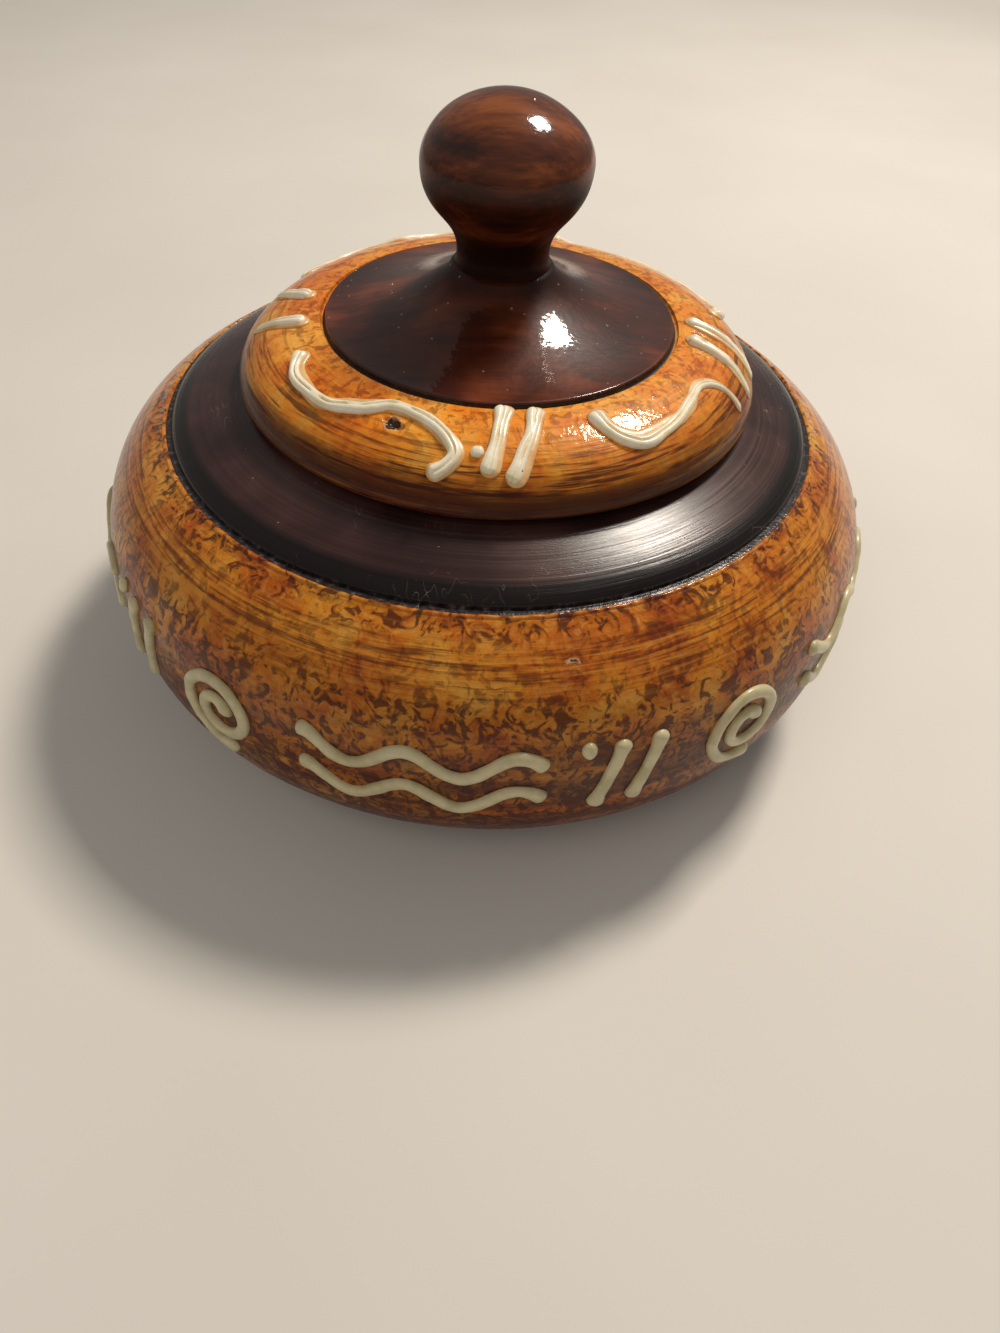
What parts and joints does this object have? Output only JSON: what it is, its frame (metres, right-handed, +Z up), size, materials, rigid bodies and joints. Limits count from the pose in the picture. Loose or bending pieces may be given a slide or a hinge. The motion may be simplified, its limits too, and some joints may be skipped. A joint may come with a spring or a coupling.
{
  "type": "lidded bowl",
  "caption": "Round turned wooden bowl with a dark shoulder, a rounded lift-off lid, a ball knob on a waisted neck, and raised cream line ornament on lid and belly.",
  "frame": {"origin": "centre of the flat base the bowl stands on", "axes": "+Z up along the turning axis, +X to the right, -Y towards the viewer of the picture"},
  "size_m": [0.1528, 0.1528, 0.1079],
  "materials": {
    "mottled_orange_wood": "turned wood under mottled orange and red-brown glossy varnish; the shoulder ring and the lid's cone are stained dark brown",
    "brown_wood": "turned mid-brown hardwood, glossy varnish",
    "cream_paste": "dried cream relief paste, slightly glossy"
  },
  "bodies": {
    "bowl": {"bowl_body": "mottled_orange_wood", "belly_spiral_1": "cream_paste", "belly_wave_1_1": "cream_paste", "belly_wave_1_2": "cream_paste", "belly_bar_1_1": "cream_paste", "belly_bar_1_2": "cream_paste", "belly_dot_1": "cream_paste", "belly_spiral_2": "cream_paste", "belly_wave_2_1": "cream_paste", "belly_wave_2_2": "cream_paste", "belly_bar_2_1": "cream_paste", "belly_bar_2_2": "cream_paste", "belly_dot_2": "cream_paste", "belly_spiral_3": "cream_paste", "belly_wave_3_1": "cream_paste", "belly_wave_3_2": "cream_paste", "belly_bar_3_1": "cream_paste", "belly_bar_3_2": "cream_paste", "belly_dot_3": "cream_paste", "belly_spiral_4": "cream_paste", "belly_wave_4_1": "cream_paste", "belly_wave_4_2": "cream_paste", "belly_bar_4_1": "cream_paste", "belly_bar_4_2": "cream_paste", "belly_dot_4": "cream_paste", "belly_spiral_5": "cream_paste", "belly_wave_5_1": "cream_paste", "belly_wave_5_2": "cream_paste", "belly_bar_5_1": "cream_paste", "belly_bar_5_2": "cream_paste", "belly_dot_5": "cream_paste"},
    "lid": {"lid_disc": "mottled_orange_wood", "knob": "brown_wood", "lid_wave_front_left": "cream_paste", "lid_wave_front_right": "cream_paste", "lid_wave_back_right": "cream_paste", "lid_wave_back_left": "cream_paste", "lid_bar_front_1": "cream_paste", "lid_bar_front_2": "cream_paste", "lid_bar_right_1": "cream_paste", "lid_bar_right_2": "cream_paste", "lid_bar_back_1": "cream_paste", "lid_bar_back_2": "cream_paste", "lid_bar_left_1": "cream_paste", "lid_bar_left_2": "cream_paste", "lid_dot": "cream_paste"}
  },
  "joints": [
    {"name": "lid_lift", "type": "slide", "parent": "bowl", "child": "lid", "axis": [0, 0, 1], "range_m": [0, 0.12]}
  ]
}
